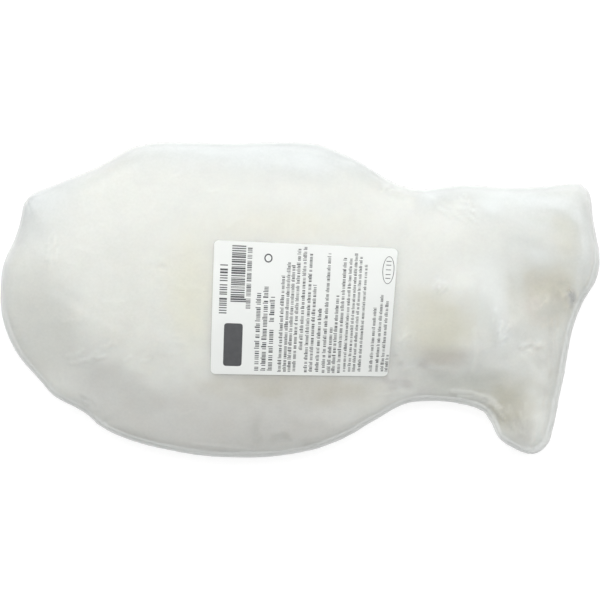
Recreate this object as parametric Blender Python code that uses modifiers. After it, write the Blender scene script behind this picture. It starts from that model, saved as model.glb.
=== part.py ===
"""A whole raw cuttlefish, cleaned, frozen flat and sealed in tight clear film, with a paper label.

The pack lies on its flat underside. X runs along the animal, from the mantle's tip (-X) to the
ends of the arms (+X). Y runs across it and Z is up. The origin is on the table, under the middle
of the outline. Places and small sizes are in millimetres, which MM turns to metres.
"""

import math

import bpy
import numpy as np
from mathutils import Vector
from mathutils.geometry import delaunay_2d_cdt

MM = 0.001

# Driving dimensions of the pack. A reach is how far in from the rim a side turns before it is level
LENGTH = 340.0
WIDTH = 179.6
CROWN = 41.0
RIM_HEIGHT = 12.5
UNDERSIDE_REACH = 20.0
RELIEF_REACH = 9.0
CROWN_EASING = 18.0

# The crown is a rounded shoulder with a low dome on it. Pairs: at the lower edge, at the upper edge
SHOULDER_SHARE = (0.18, 0.64)
SHOULDER_REACH = (10.0, 13.0)
DOME_REACH = (85.0, 62.0)
SIDES_MEET = (-50.0, 40.0)

# Driving dimensions of the label
LABEL_THICKNESS = 0.3
LABEL_GAP = 0.3
LABEL_CORNER = 2.6

# Sizes of the triangles. Rings are rows of points at these depths inside the rim
CURVE_CUTS = 40
RIM_STEP = 5.0
CUTS_PER_STEP = 10
TOP_SPACING = 5.8
TOP_RINGS = (0.7, 2.2, 5.0, 9.0)
UNDERSIDE_SPACING = 23.0
UNDERSIDE_RINGS = (0.8, 2.6, 6.0, 11.0, 17.0)
UNDERSIDE_FLAT_RING = 22.0
RING_POINT_GAP = 2.2
RING_DEPTH_KEPT = 0.93
LABEL_CELL = 6.0
LABEL_CORNER_CUTS = 4

# The outline seen from above, clockwise from the mantle's tip: places where the film turns
MANTLE_TIP = [(-170.0, 5.0), (-168.2, 20.5), (-162.0, 34.0), (-158.4, 45.0)]
TIP_PLEAT = [(-156.8, 53.0), (-155.0, 58.4), (-150.5, 61.8)]
MANTLE_UPPER_EDGE = [(-132.0, 69.0), (-113.0, 77.0), (-97.0, 86.2), (-87.0, 89.4)]
MANTLE_UPPER_SIDE = [(-40.0, 89.7), (9.5, 89.4)]
SHOULDER_UPPER = [(19.5, 85.8), (34.5, 78.8), (52.5, 67.6), (66.0, 63.5)]
HEAD_UPPER_EDGE = [(92.0, 66.2), (119.0, 64.6), (144.0, 66.0)]
UPPER_ARM_CORNER = [(157.5, 67.4), (163.6, 62.4)]
UPPER_ARM_END = [(166.2, 45.4), (169.8, 25.8), (168.6, 12.6), (161.2, 0.4)]
LOWER_ARM_END = [(155.4, -14.0), (152.2, -30.0), (148.0, -52.0), (143.8, -72.5)]
LOWER_ARM_LOBE = [(139.2, -83.6), (130.4, -87.8), (120.4, -84.4), (111.6, -77.6)]
THROAT = [(108.4, -69.0), (103.0, -62.4), (92.0, -59.0), (75.0, -57.2), (60.0, -58.8)]
SHOULDER_LOWER = [(42.5, -68.2), (24.0, -79.0), (0.0, -86.6)]
MANTLE_LOWER_EDGE = [(-26.0, -89.4), (-57.0, -88.0), (-90.5, -81.4), (-106.5, -75.6)]
LOWER_PLEAT = [(-115.0, -70.8), (-121.0, -64.9), (-131.5, -59.0), (-139.6, -55.0)]
MANTLE_LOWER_TIP = [(-147.0, -46.5), (-162.0, -28.0), (-168.8, -10.0)]
OUTLINE = (
    MANTLE_TIP
    + TIP_PLEAT
    + MANTLE_UPPER_EDGE
    + MANTLE_UPPER_SIDE
    + SHOULDER_UPPER
    + HEAD_UPPER_EDGE
    + UPPER_ARM_CORNER
    + UPPER_ARM_END
    + LOWER_ARM_END
    + LOWER_ARM_LOBE
    + THROAT
    + SHOULDER_LOWER
    + MANTLE_LOWER_EDGE
    + LOWER_PLEAT
    + MANTLE_LOWER_TIP
)

# How high the crown stands over the rim along the animal, as a share of its height over the mantle
CROWN_ALONG = [
    (-180.0, 0.56),
    (-130.0, 0.88),
    (-60.0, 1.00),
    (0.0, 0.98),
    (60.0, 0.80),
    (105.0, 0.76),
    (145.0, 0.66),
    (180.0, 0.48),
]

# Low relief where the film follows the flesh: start, end, half width and height of each swell or dip
RELIEF = {
    "upper arm bundle": ((88.0, 36.0), (122.0, 44.0), 15.0, 1.0),
    "upper arm tips": ((161.0, 48.0), (162.5, 22.0), 6.0, 1.8),
    "hollow between the arm bundles": ((133.0, 5.0), (149.0, 6.0), 11.0, -2.3),
    "gap between the arm tips": ((152.5, 5.5), (154.0, -2.5), 2.6, -2.0),
    "lower arm bundle": ((96.0, 4.0), (140.0, -40.0), 12.0, 2.6),
    "lower arm tips": ((143.0, -52.0), (139.0, -74.0), 8.0, 1.8),
    "hollow under the head": ((66.0, -44.0), (104.0, -48.0), 14.0, -2.2),
    "flat of the neck": ((72.0, -26.0), (116.0, -31.0), 13.0, 1.7),
    "mouth of the mantle": ((58.0, 29.0), (62.0, -15.0), 9.0, -0.9),
    "shoulder of the mantle's tip": ((-142.0, 17.0), (-112.0, -19.0), 16.0, 1.2),
    "flat of the mantle's side": ((-128.0, -40.0), (-84.0, -60.0), 14.0, -1.2),
}

# Plan corners of the label, from the one nearest the mantle's tip and the upper edge, clockwise
LABEL_CORNERS = [(-47.6, 33.3), (54.6, 28.6), (49.2, -42.9), (-49.9, -41.2)]


def smooth_outline(landmarks):
    """A closed centripetal Catmull-Rom curve through the landmarks, cut into short equal lengths."""
    points = np.array(landmarks, float)
    count = len(points)
    fine = []
    for i in range(count):
        p0, p1, p2, p3 = (points[(i + k) % count] for k in (-1, 0, 1, 2))
        t0 = 0.0
        t1 = t0 + math.sqrt(np.linalg.norm(p1 - p0))
        t2 = t1 + math.sqrt(np.linalg.norm(p2 - p1))
        t3 = t2 + math.sqrt(np.linalg.norm(p3 - p2))
        for t in np.linspace(t1, t2, CURVE_CUTS, endpoint=False):
            a1 = (t1 - t) / (t1 - t0) * p0 + (t - t0) / (t1 - t0) * p1
            a2 = (t2 - t) / (t2 - t1) * p1 + (t - t1) / (t2 - t1) * p2
            a3 = (t3 - t) / (t3 - t2) * p2 + (t - t2) / (t3 - t2) * p3
            b1 = (t2 - t) / (t2 - t0) * a1 + (t - t0) / (t2 - t0) * a2
            b2 = (t3 - t) / (t3 - t1) * a2 + (t - t1) / (t3 - t1) * a3
            fine.append((t2 - t) / (t2 - t1) * b1 + (t - t1) / (t2 - t1) * b2)
    fine = np.array(fine)
    ring = np.vstack([fine, fine[:1]])
    along = np.concatenate([[0.0], np.cumsum(np.linalg.norm(np.diff(ring, axis=0), axis=1))])
    steps = round(along[-1] / RIM_STEP)
    cuts = np.linspace(0.0, along[-1], steps * CUTS_PER_STEP, endpoint=False)
    return np.stack([np.interp(cuts, along, ring[:, k]) for k in (0, 1)], axis=1)


def fit_to_size(points):
    """The outline stretched a little so that its rim has the exact length and width round the origin."""
    rim = points[::CUTS_PER_STEP]
    low, high = rim.min(0), rim.max(0)
    return (points - (low + high) / 2) * np.array([LENGTH, WIDTH]) / (high - low)


def soft_depth(points, rim):
    """How far each plan point lies inside the rim: exact near a straight edge, smooth in the middle."""
    following = np.roll(rim, -1, axis=0)
    middles, pieces = (rim + following) / 2, np.linalg.norm(following - rim, axis=1)
    depth = np.zeros(len(points))
    for i, p in enumerate(points):
        reach = np.maximum(np.linalg.norm(middles - p, axis=1), pieces / 2)
        depth[i] = math.sqrt(2.0 / (pieces / reach**3).sum())
    return depth


def quarter_round(share):
    """Rises steeply from 0 at the rim and is level from 1 on, as an inflated sheet does."""
    inward = 1.0 - np.clip(share, 0.0, 1.0)
    return np.sqrt(1.0 - inward**2)


def eased(x, table):
    """The table's values at x, with soft turns at its entries."""
    places, values = zip(*table)
    spread = np.linspace(-CROWN_EASING, CROWN_EASING, 9)
    return np.mean([np.interp(x + s, places, values) for s in spread], axis=0)


def relief(points):
    """The swells and dips of the upper side, each a soft ridge round a straight line."""
    total = np.zeros(len(points))
    for start, end, half_width, height in RELIEF.values():
        a, b = np.array(start), np.array(end)
        share = np.clip((points - a) @ (b - a) / ((b - a) @ (b - a)), 0.0, 1.0)
        away = np.linalg.norm(points - (a + share[:, None] * (b - a)), axis=1)
        total += height * np.exp(-((away / half_width) ** 2))
    return total


def side_to_side(points, pair):
    """A value that changes softly from the first of the pair at the lower side to the second at the upper."""
    start, end = SIDES_MEET
    share = np.clip((points[:, 1] - start) / (end - start), 0.0, 1.0)
    return pair[0] + (pair[1] - pair[0]) * share**2 * (3.0 - 2.0 * share)


def upper_height(points, depth):
    """Height of the film's upper side over the table: steep shoulder, low dome and relief."""
    crown = (CROWN - RIM_HEIGHT) * eased(points[:, 0], CROWN_ALONG)
    share = side_to_side(points, SHOULDER_SHARE)
    shoulder = quarter_round(depth / side_to_side(points, SHOULDER_REACH))
    dome = np.sin(math.pi / 2 * np.clip(depth / side_to_side(points, DOME_REACH), 0.0, 1.0))
    settle = np.clip(depth / RELIEF_REACH, 0.0, 1.0)
    return RIM_HEIGHT + crown * (share * shoulder + (1.0 - share) * dome) + relief(points) * settle


def underside_height(depth):
    """Height of the underside, which turns up from the table to the rim."""
    return RIM_HEIGHT * (1.0 - quarter_round(depth / UNDERSIDE_REACH))


def inner_rings(rim, depths, fine_rim):
    """Rows of points at these depths inside the rim, without those that crowd together in a corner."""
    tangent = np.roll(rim, -1, axis=0) - np.roll(rim, 1, axis=0)
    tangent /= np.linalg.norm(tangent, axis=1)[:, None]
    inward = np.stack([tangent[:, 1], -tangent[:, 0]], axis=1)
    kept = []
    for depth in depths:
        row = rim + inward * depth
        nearest = np.array([np.linalg.norm(fine_rim - p, axis=1).min() for p in row])
        last = None
        for p, near in zip(row, nearest):
            apart = RIM_STEP if last is None else np.linalg.norm(p - last)
            if near > RING_DEPTH_KEPT * depth and apart > RING_POINT_GAP:
                kept.append(p)
                last = p
    return np.array(kept)


def inside(point, rim):
    """True if a plan point lies inside the closed outline."""
    a, b = rim, np.roll(rim, -1, axis=0)
    crosses = (a[:, 1] > point[1]) != (b[:, 1] > point[1])
    rise = np.where(crosses, b[:, 1] - a[:, 1], 1.0)
    reach = a[:, 0] + (point[1] - a[:, 1]) / rise * (b[:, 0] - a[:, 0])
    return bool(np.count_nonzero(crosses & (point[0] < reach)) % 2)


def hex_grid(spacing, margin, fine_rim):
    """Evenly spaced points inside the outline, at least margin from its rim."""
    low, high = fine_rim.min(0), fine_rim.max(0)
    kept = []
    for i, y in enumerate(np.arange(low[1], high[1], spacing * math.sqrt(3) / 2)):
        for x in np.arange(low[0] + (i % 2) * spacing / 2, high[0], spacing):
            p = np.array([x, y])
            if inside(p, fine_rim) and np.linalg.norm(fine_rim - p, axis=1).min() > margin:
                kept.append(p)
    return np.array(kept)


def plan_triangles(rim, inner):
    """Triangles over the rim and the points inside it, none of them outside the rim."""
    points = [Vector(p) for p in np.vstack([rim, inner])]
    edges = [(i, (i + 1) % len(rim)) for i in range(len(rim))]
    made, _, faces, *_ = delaunay_2d_cdt(points, edges, [], 1, 1e-6)
    return np.array([tuple(p) for p in made]), [tuple(face) for face in faces]


def add_object(name, vertices, faces, material, collection):
    """An object from vertices in millimetres, with its faces turned outwards."""
    mesh = bpy.data.meshes.new(name)
    mesh.from_pydata([tuple(p) for p in np.array(vertices) * MM], [], faces)
    mesh.materials.append(material)
    mesh.shade_smooth()
    mesh.set_sharp_from_angle(angle=math.radians(50))
    made = bpy.data.objects.new(name, mesh)
    collection.objects.link(made)
    return made


def upward(vertices, face):
    """The face's corners in the order that makes it look up, seen from above."""
    a, b, c = (np.array(vertices[i][:2]) for i in face[:3])
    turn = (b[0] - a[0]) * (c[1] - a[1]) - (b[1] - a[1]) * (c[0] - a[0])
    return face if turn > 0 else face[::-1]


def make_pack(fine_rim, material, collection):
    """The sealed pack: one solid with a domed upper side, a rounded rim and a flat underside."""
    rim = fine_rim[::CUTS_PER_STEP]
    top_rings = inner_rings(rim, TOP_RINGS, fine_rim)
    top_grid = hex_grid(TOP_SPACING, TOP_RINGS[-1] + TOP_SPACING / 2, fine_rim)
    upper, upper_faces = plan_triangles(rim, np.vstack([top_rings, top_grid]))

    turned_rings = inner_rings(rim, UNDERSIDE_RINGS, fine_rim)
    flat_ring = inner_rings(rim, (UNDERSIDE_FLAT_RING,), fine_rim)[::2]
    flat_grid = hex_grid(UNDERSIDE_SPACING, UNDERSIDE_FLAT_RING + UNDERSIDE_SPACING / 2, fine_rim)
    lower, lower_faces = plan_triangles(rim, np.vstack([turned_rings, flat_ring, flat_grid]))

    upper_depth, lower_depth = soft_depth(upper, fine_rim), soft_depth(lower, fine_rim)
    upper_depth[: len(rim)] = lower_depth[: len(rim)] = 0.0
    tops = np.column_stack([upper, upper_height(upper, upper_depth)])
    bases = np.column_stack([lower, underside_height(lower_depth)])

    # Both sides share the rim's points, and the underside's others are counted on from the upper side's
    vertices = np.vstack([tops, bases[len(rim) :]])
    shift = len(tops) - len(rim)
    faces = [upward(tops, face) for face in upper_faces]
    for face in lower_faces:
        corners = tuple(i if i < len(rim) else i + shift for i in upward(bases, face)[::-1])
        faces.append(corners)
    return add_object("sealed_cuttlefish", vertices, faces, material, collection)


def label_plan(u, v):
    """Plan place on the label, u along its upper edge and v down from that edge, both from 0 to 1."""
    a, b, c, d = (np.array(p) for p in LABEL_CORNERS)
    return (1 - u) * (1 - v) * a + u * (1 - v) * b + u * v * c + (1 - u) * v * d


def label_outline(width, depth):
    """The label's edge as shares of its width and depth, with quarter-circle corners."""
    points = []
    corner = np.array([LABEL_CORNER / width, LABEL_CORNER / depth])
    for turn, centre in enumerate([(1, 0), (1, 1), (0, 1), (0, 0)]):
        middle = np.array(centre, float) + corner * (1 - 2 * np.array(centre))
        start, end = np.radians([-90 + 90 * turn, 90 * turn])
        for angle in np.linspace(start, end, LABEL_CORNER_CUTS):
            points.append(middle + corner * np.array([math.cos(angle), math.sin(angle)]))
    return np.array(points)


def label_edge(width, depth):
    """The label's edge with its straight sides cut into cells."""
    corners = label_outline(width, depth)
    size = np.array([width, depth])
    points = []
    for p, q in zip(corners, np.roll(corners, -1, axis=0)):
        cells = max(1, round(np.linalg.norm((q - p) * size) / LABEL_CELL))
        points += [p + (q - p) * k / cells for k in range(cells)]
    return np.array(points)


def make_label(fine_rim, material, collection):
    """The paper label: an open sheet that follows the film just above it, thickened upwards."""
    a, b, _, d = (np.array(p) for p in LABEL_CORNERS)
    width, depth = np.linalg.norm(b - a), np.linalg.norm(d - a)
    across, down = round(width / LABEL_CELL), round(depth / LABEL_CELL)
    inner = np.array([(i / across, j / down) for i in range(1, across) for j in range(1, down)])
    shares, faces = plan_triangles(label_edge(width, depth), inner)
    plan = np.array([label_plan(u, v) for u, v in shares])
    film = upper_height(plan, soft_depth(plan, fine_rim))
    sheet = np.column_stack([plan, film + LABEL_GAP])
    faces = [upward(sheet, face) for face in faces]
    label = add_object("paper_label", sheet, faces, material, collection)
    paper = label.modifiers.new("paper thickness", "SOLIDIFY")
    paper.thickness = LABEL_THICKNESS * MM
    paper.offset = 1.0
    return label


def add_material(name, colour, roughness):
    """A plain material in linear colour."""
    material = bpy.data.materials.new(name)
    material.use_nodes = True
    shader = material.node_tree.nodes["Principled BSDF"]
    shader.inputs["Base Color"].default_value = (*colour, 1.0)
    shader.inputs["Roughness"].default_value = roughness
    shader.inputs["Metallic"].default_value = 0.0
    return material


def clear_scene():
    for thing in list(bpy.data.objects):
        bpy.data.objects.remove(thing)


def main():
    clear_scene()
    collection = bpy.data.collections.new("frozen_cuttlefish")
    bpy.context.scene.collection.children.link(collection)
    fine_rim = fit_to_size(smooth_outline(OUTLINE))
    frosted = add_material("frosted film over white flesh", (0.76, 0.77, 0.73), 0.35)
    paper = add_material("label paper", (0.86, 0.87, 0.86), 0.5)
    make_pack(fine_rim, frosted, collection)
    make_label(fine_rim, paper, collection)


main()
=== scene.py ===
# %% [markdown]
# A whole cleaned cuttlefish, frozen and sealed.
# The object is one raw cuttlefish that was cleaned, dipped in water so that a glaze of ice froze
# round it, and shrink-wrapped in clear film with a paper label on top. From outside inwards it is
# film, ice and flesh. It could be made as one white shape, but that looks like plaster. Here each
# of the three is a piece of its own, because light that passes two cloudy layers before it meets
# the flesh is what gives frozen seafood its soft, cold look.

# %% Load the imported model
import math
import random

import bmesh
import bpy
import numpy as np
from mathutils import Matrix, Vector, noise
from mathutils.bvhtree import BVHTree


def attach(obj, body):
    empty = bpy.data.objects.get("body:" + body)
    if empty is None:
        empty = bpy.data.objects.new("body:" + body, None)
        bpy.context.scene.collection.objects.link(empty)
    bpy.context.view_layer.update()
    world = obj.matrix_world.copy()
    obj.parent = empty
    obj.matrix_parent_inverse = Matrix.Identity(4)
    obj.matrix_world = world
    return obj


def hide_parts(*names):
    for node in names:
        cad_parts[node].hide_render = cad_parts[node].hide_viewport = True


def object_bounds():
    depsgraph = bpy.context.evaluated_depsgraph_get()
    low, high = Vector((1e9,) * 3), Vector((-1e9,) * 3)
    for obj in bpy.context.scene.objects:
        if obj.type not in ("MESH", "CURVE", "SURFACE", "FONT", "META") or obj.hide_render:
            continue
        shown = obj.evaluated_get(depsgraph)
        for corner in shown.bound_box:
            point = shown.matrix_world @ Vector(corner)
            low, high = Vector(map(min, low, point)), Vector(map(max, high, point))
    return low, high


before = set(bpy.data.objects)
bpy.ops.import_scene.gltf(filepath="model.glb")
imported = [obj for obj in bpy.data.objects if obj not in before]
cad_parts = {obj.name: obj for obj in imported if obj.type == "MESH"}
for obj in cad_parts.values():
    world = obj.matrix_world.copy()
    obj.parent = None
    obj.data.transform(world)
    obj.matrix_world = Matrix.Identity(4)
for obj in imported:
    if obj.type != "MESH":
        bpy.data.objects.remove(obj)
cad_low, cad_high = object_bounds()
MM = 0.001
print("CAD box in mm:", [round(side / MM, 1) for side in cad_high - cad_low])

# %% [markdown]
# The camera looks straight down on the pack, as it lay for its photograph. A long lens from 1.4 m
# keeps the sides from showing. The lens is worked out so that the pack's length just fills the
# picture at the height of its rim, where its outline is widest.

# %% Camera
CAMERA_HEIGHT = 1400 * MM
RIM_HEIGHT = 12.5 * MM
SENSOR_WIDTH = 36.0

camera = bpy.data.objects.new("camera", bpy.data.cameras.new("camera"))
camera.data.sensor_width = SENSOR_WIDTH
camera.data.lens = SENSOR_WIDTH * (CAMERA_HEIGHT - RIM_HEIGHT) / (cad_high - cad_low).x
camera.location = (0, 0, CAMERA_HEIGHT)
bpy.context.scene.collection.objects.link(camera)
bpy.context.scene.camera = camera
print("lens:", round(camera.data.lens, 1), "mm")

# %% [markdown]
# A few small helpers serve every finish. Paint charts and screens give colours as sRGB hex values,
# but shaders add up light, so one function turns them to linear values. One function adds a node
# with its settings and links. Two begin a material and end it in a Principled shader.

# %% Material helpers
def colour(hex_code):
    """The linear colour of an sRGB hex value."""
    channels = [int(hex_code[i:i + 2], 16) / 255 for i in (0, 2, 4)]
    return (*(c / 12.92 if c <= 0.04045 else ((c + 0.055) / 1.055) ** 2.4 for c in channels), 1.0)


def add(tree, kind, sockets, out=0, **settings):
    """Adds a shader node and gives its output of this name or number, if it has any. Sockets maps an
    input's name or number to another node's output, a colour as a hex value, or another value."""
    node = tree.nodes.new("ShaderNode" + kind)
    for name, value in settings.items():
        setattr(node, name, value)
    for name, value in sockets.items():
        if isinstance(value, bpy.types.NodeSocket):
            tree.links.new(value, node.inputs[name])
        else:
            node.inputs[name].default_value = colour(value) if isinstance(value, str) else value
    return node.outputs[out] if node.outputs else None


def new_material(name):
    """A new material, its nodes, and the object's own coordinates, which are all that is in it."""
    material = bpy.data.materials.new(name)
    material.use_nodes = True
    tree = material.node_tree
    tree.nodes.clear()
    return material, tree, add(tree, "TexCoord", {}, "Object")


def finished(material, sockets):
    """The material, ended in one Principled shader with these sockets."""
    shader = add(material.node_tree, "BsdfPrincipled", sockets)
    add(material.node_tree, "OutputMaterial", {"Surface": shader})
    print("finish:", material.name, "of", len(material.node_tree.nodes), "nodes")
    return material


def lumps(size_mm):
    """The scale that gives a noise texture lumps of this size, in a scene measured in metres."""
    return 1 / (size_mm * MM)


def cloudy_material(name, cloud_mm, detail, dark, light, sockets):
    """A finish whose colour drifts between two tones, in clouds of this size."""
    material, tree, place = new_material(name)
    clouds = add(tree, "TexNoise", {"Vector": place, "Scale": lumps(cloud_mm), "Detail": detail})
    tone = add(tree, "Mix", {0: clouds, 6: dark, 7: light}, 2, data_type="RGBA")
    return finished(material, {"Base Color": tone, **sockets})

# %% [markdown]
# The light is a tent of white cloth, lit from the far side. The far edge of the pack then turns
# bright and the near edge falls to grey, which is all that shows its roundness. One lamp would do
# as well, but it would burn out the steep far edge, and a wide glow lights it softly. The Standard
# view keeps whites as white as they are lit; the default one greys them.

# %% Light
TENT_SHADE = 0.31
TENT_GLOW = 2.77
GLOW_BEGINS, GLOW_FULL = (-0.20, 0.34), (0.40, 0.72)

bpy.context.scene.view_settings.view_transform = "Standard"
world = bpy.data.worlds.new("white_tent")
world.use_nodes = True
tent = world.node_tree
way = add(tent, "TexCoord", {}, "Generated")
glow = 1.0
for axis, begins, full in zip("YZ", GLOW_BEGINS, GLOW_FULL):
    part = add(tent, "SeparateXYZ", {"Vector": way}, axis)
    rise = add(tent, "MapRange", {"Value": part, "From Min": begins, "From Max": full},
               interpolation_type="SMOOTHSTEP")
    glow = add(tent, "Math", {0: glow, 1: rise}, operation="MULTIPLY")
strength = add(tent, "Math", {0: glow, 1: TENT_GLOW, 2: TENT_SHADE}, operation="MULTIPLY_ADD")
tent.nodes["Background"].inputs["Color"].default_value = colour("FFFFFF")
tent.links.new(strength, tent.nodes["Background"].inputs["Strength"])
bpy.context.scene.world = world
print("tent: strength", TENT_SHADE, "in its shade,", round(TENT_SHADE + TENT_GLOW, 2), "where it glows")

# %% [markdown]
# The floor is a light table: opal acrylic with a matt face, lit from below, much larger than the
# pack. Its own glow is stronger than what it reflects, so it stays white and the pack throws only a
# faint shadow.

# %% Floor
FLOOR_SIZE = 24.0
FLOOR_GLOW = 0.78


def mesh_of(shapes, name):
    """The finished mesh of shapes that were built face by face."""
    mesh = bpy.data.meshes.new(name)
    shapes.to_mesh(mesh)
    shapes.free()
    return mesh


plane = bmesh.new()
bmesh.ops.create_grid(plane, x_segments=2, y_segments=2, size=FLOOR_SIZE / 2)
floor = bpy.data.objects.new("floor", mesh_of(plane, "floor"))
floor.data.materials.append(cloudy_material("opal_acrylic", 300, 2, "949494", "989898", {
    "Roughness": 0.9, "Specular IOR Level": 0.2,
    "Emission Color": "FFFFFF", "Emission Strength": FLOOR_GLOW}))
bpy.context.scene.collection.objects.link(floor)

# %% [markdown]
# The soft shapes are worked on as arrays of points in millimetres, because numpy moves a hundred
# thousand points at once. These helpers copy a solid, apply a modifier, and read and write points.

# %% Mesh helpers
WELD = 0.001 * MM


def add_piece(name, mesh):
    """A new object in the scene with smooth faces."""
    piece = bpy.data.objects.new(name, mesh)
    bpy.context.scene.collection.objects.link(piece)
    mesh.shade_smooth()
    return piece


def copy_of_node(name, node):
    """A piece that starts as a welded copy of one of the model's solids."""
    solid = bmesh.new()
    solid.from_mesh(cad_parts[node].data)
    bmesh.ops.remove_doubles(solid, verts=solid.verts, dist=WELD)
    mesh = mesh_of(solid, name)
    mesh.materials.clear()
    return add_piece(name, mesh)


def shape(piece, kind, **settings):
    """Adds one modifier with its settings and applies it."""
    modifier = piece.modifiers.new(kind, kind)
    for name, value in settings.items():
        setattr(modifier, name, value)
    evaluated = piece.evaluated_get(bpy.context.evaluated_depsgraph_get())
    shaped = bpy.data.meshes.new_from_object(evaluated)
    unshaped = piece.data
    piece.modifiers.clear()
    piece.data = shaped
    bpy.data.meshes.remove(unshaped)
    shaped.name = piece.name
    shaped.shade_smooth()
    return piece


def resurface(piece, cell_mm, smoothing):
    """Gives a closed piece an even skin of small faces, and smooths it."""
    shape(piece, "REMESH", mode="VOXEL", voxel_size=cell_mm * MM)
    return shape(piece, "SMOOTH", factor=0.5, iterations=smoothing)


def points_of(piece):
    """A piece's points in mm."""
    points = np.empty(len(piece.data.vertices) * 3, np.float32)
    piece.data.vertices.foreach_get("co", points)
    return points.reshape(-1, 3).astype(float) / MM


def normals_of(piece):
    """The way that a piece's surface faces at each of its points."""
    normals = np.empty(len(piece.data.vertices) * 3, np.float32)
    piece.data.vertices.foreach_get("normal", normals)
    return normals.reshape(-1, 3).astype(float)


def put_points(piece, points):
    """Moves a piece's points to these places in mm."""
    piece.data.vertices.foreach_set("co", (points * MM).astype(np.float32).ravel())
    piece.data.update()
    return piece


def tree_of(piece):
    """A search tree of a piece's surface in mm, to find what lies under or nearest to a point."""
    faces = [tuple(face.vertices) for face in piece.data.polygons]
    return BVHTree.FromPolygons(points_of(piece).tolist(), faces)


def wander(points, size_mm, seed):
    """Smooth random values from -1 to 1 at each point, in lumps of this size."""
    return np.array([noise.noise(place) for place in (points / size_mm + seed).tolist()])


def report(piece):
    """Prints what was made."""
    bpy.context.view_layer.update()
    sides = [round(side / MM, 1) for side in piece.dimensions]
    print(f"{piece.name}: {len(piece.data.polygons)} faces, {sides} mm")

# %% [markdown]
# The film is a polyolefin bag, shrunk tight with hot air. It takes the shape of what is in it, with
# straight stretches between the high places, small fans of pleats where the bag's corners were
# drawn in, and long creases where it is pulled round the neck. The solid model has the main form.
# A copy gets an even skin of small faces, and each mark is then added as a height along the
# surface: that keeps the film in one piece, as a sculpting brush would, and can be repeated.

# %% Film: the smooth skin
SKIN_CELL = 1.25
SKIN_SMOOTHING = 8


def smooth_skin(name, cell_mm, smoothing):
    """The sealed pack's outer form with an even skin."""
    skin = copy_of_node(name, "sealed_cuttlefish")
    shape(skin, "SUBSURF", levels=1, render_levels=1)
    return resurface(skin, cell_mm, smoothing)


film = smooth_skin("bag_film", SKIN_CELL, SKIN_SMOOTHING)
report(film)

# %% Film: pleats, creases and crinkles
# Places are in mm on the plan, with X along the pack and Y across it. Heights and widths are in mm.
PLEAT_FANS = {
    # corner of the bag: (place, the way in towards the body in degrees, pleats, height, reach)
    "tip": ((-155, 58), -50, 7, 0.55, 22),
    "upper shoulder": ((-87, 90), -75, 5, 0.30, 22),
    "arm corner": ((162, 68), -135, 6, 0.50, 20),
    "arm lobe": ((130, -88), 85, 7, 0.55, 20),
    "lower tip": ((-115, -70), 50, 6, 0.45, 20),
    "throat": ((108, -60), 120, 5, 0.35, 18),
}
CREASES = {
    # name: (points of its line, height, width)
    "neck, inner": (((86, -51.5), (96, -52), (106.5, -55.4), (113.3, -61.1)), 0.8, 1.0),
    "neck, outer": (((89.5, -54.3), (101, -55.4), (110, -60), (115, -66.8)), 0.8, 0.9),
    "fold by the hollow": (((151.8, 5.6), (153.8, 3.0), (155.2, -1.6)), -1.3, 1.0),
    "ridge by the hollow": (((149, 6.5), (151.2, 2.6), (152.2, -2.5)), 0.4, 1.2),
    "seam below the hollow": (((142, -12), (142.6, -26), (142, -44)), -0.3, 1.2),
    "upper margin": (((-68, 85), (-45, 86.5), (-22, 86.2), (11, 82.5), (30, 76)), 0.15, 0.9),
    "upper neck": (((74, 57), (84, 52), (98, 50)), 0.3, 1.2),
    "upper neck, low": (((77, 51.5), (88, 47.5), (97, 46)), 0.25, 1.0),
    "right rim": (((161.5, 57), (165.2, 40), (165.6, 22), (162, 8)), 0.35, 1.1),
    "ridge edge": (((97.5, -16.9), (98.6, -28), (97, -39.6)), 0.3, 1.4),
    "shoulder": (((-136, 5.8), (-118, -6), (-96, -17)), -0.35, 3.0),
    "lower edge": (((-60, -81), (-20, -85.5), (20, -84), (45, -76)), 0.3, 1.0),
}
CRINKLE_ZONES = {
    # name: (centre, spread, direction in degrees, length, how many, height)
    "lower left": ((-117, -32), (17, 7), 20, 7, 16, 0.3),
    "left marks": ((-140, 26), (4, 8), 90, 6, 7, 0.25),
    "left dents": ((-80, 15), (8, 6), 35, 6, 7, -0.22),
    "dimples": ((-121, -58), (6, 5), 130, 4, 6, -0.35),
    "neck top": ((86, 51), (15, 7), -25, 8, 9, 0.28),
    "glints": ((58, 62), (12, 4), 5, 5, 7, 0.35),
    "by the label": ((60, -20), (4, 6), 60, 5, 5, 0.3),
    "ridge spots": ((78, 8), (4, 4), 70, 4, 5, 0.32),
    "ridge scratches": ((111, -15.5), (6, 7), 60, 6, 6, 0.35),
    "below the hollow": ((130, -25), (5, 3), 15, 4, 6, 0.35),
    "lobe": ((124, -68), (9, 10), 100, 8, 10, 0.35),
    "all over": ((0, 0), (150, 70), 0, 8, 60, 0.12),
}

# %% Film: the height of each mark
# Crinkles vary in direction by degrees, in width by mm, and else by shares of what is asked for
CRINKLE_TURN, CRINKLE_BEND = 20, 0.15
HALF_LENGTHS, HEIGHT_SHARES, WIDTHS = (0.3, 0.7), (0.5, 1.2), (0.7, 1.2)


def distance_to(line, plan):
    """How far each plan point is from a line through a few points."""
    nearest = np.full(len(plan), np.inf)
    for start, end in zip(np.array(line[:-1], float), np.array(line[1:], float)):
        along = np.clip((plan - start) @ (end - start) / ((end - start) @ (end - start)), 0, 1)
        nearest = np.minimum(nearest, np.linalg.norm(plan - start - along[:, None] * (end - start), axis=1))
    return nearest


def crease(plan, line, height, width):
    """A narrow ridge, or a groove if its height is negative, along a line."""
    return height * np.exp(-(distance_to(line, plan) / width) ** 2)


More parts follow.
